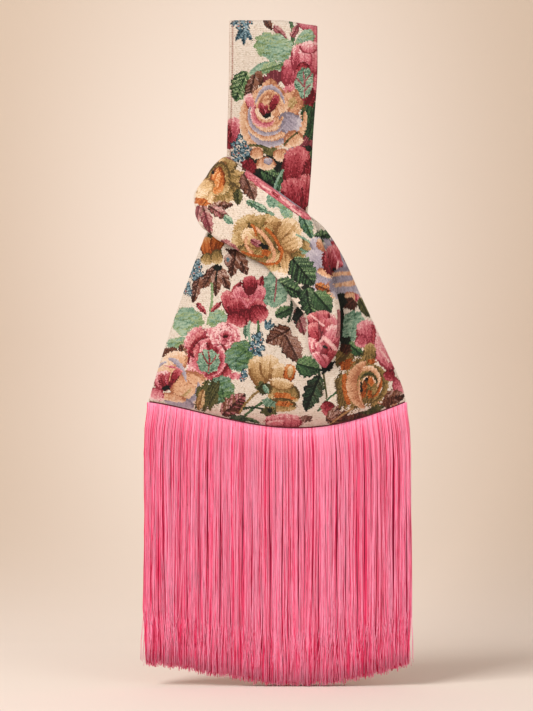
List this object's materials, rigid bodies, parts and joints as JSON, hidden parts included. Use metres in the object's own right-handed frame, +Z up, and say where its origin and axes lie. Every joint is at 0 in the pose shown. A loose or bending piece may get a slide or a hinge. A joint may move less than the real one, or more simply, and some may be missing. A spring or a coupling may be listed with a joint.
{
  "type": "knot bag",
  "caption": "Fringed knot bag of rose tapestry: a flat curved pouch, a long handle loop pulled through a short one, and a long fringe",
  "frame": {"origin": "inside top of the long handle's loop, where a hand or hook carries the bag", "axes": "+Z up the hanging bag, +X to the right of its front, +Y towards its back"},
  "size_m": [0.2694, 0.0634, 0.6652],
  "materials": {
    "tapestry_cloth": "jacquard tapestry, roses and leaves on ivory",
    "rayon_fringe": "twisted rayon thread, soft gloss"
  },
  "bodies": {
    "root": {"long_handle": "tapestry_cloth", "short_handle": "tapestry_cloth", "pouch": "tapestry_cloth", "fringe": "rayon_fringe"}
  },
  "joints": []
}
